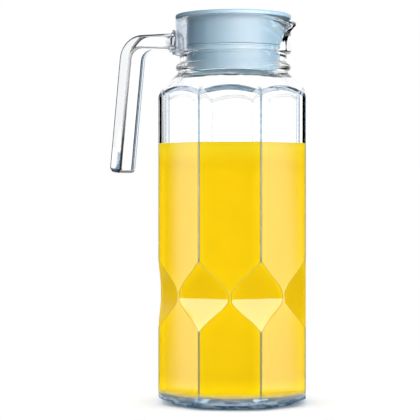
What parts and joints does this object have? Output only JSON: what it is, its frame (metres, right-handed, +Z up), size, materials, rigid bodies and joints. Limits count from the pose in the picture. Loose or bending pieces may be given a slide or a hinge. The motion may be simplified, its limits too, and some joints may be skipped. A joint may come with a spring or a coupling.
{
  "type": "glass pitcher with lid",
  "caption": "Eight-sided glass jug with scooped notches, a pouring lip, an applied open glass handle and a plug lid that turns and lifts off.",
  "frame": {"origin": "middle of the foot, on the surface that the jug stands on", "axes": "+Z up along the jug's axis, +X towards the spout, -X towards the handle"},
  "size_m": [0.1442, 0.1068, 0.265],
  "materials": {
    "clear_glass": "fire-polished",
    "handle_glass": "fire-polished",
    "lid_plastic": "translucent satin",
    "seal": "soft satin"
  },
  "bodies": {
    "jug": {"glass_jug": "clear_glass", "glass_handle": "handle_glass"},
    "seal": {"seal_ring": "seal"},
    "lid": {"lid": "lid_plastic"}
  },
  "joints": [
    {"name": "lid_lift", "type": "slide", "parent": "jug", "child": "seal", "axis": [0, 0, 1], "range_m": [0, 0.06]},
    {"name": "lid_turn", "type": "hinge", "parent": "seal", "child": "lid", "pos_m": [0, 0, 0.2622], "axis": [0, 0, 1], "continuous": true}
  ]
}
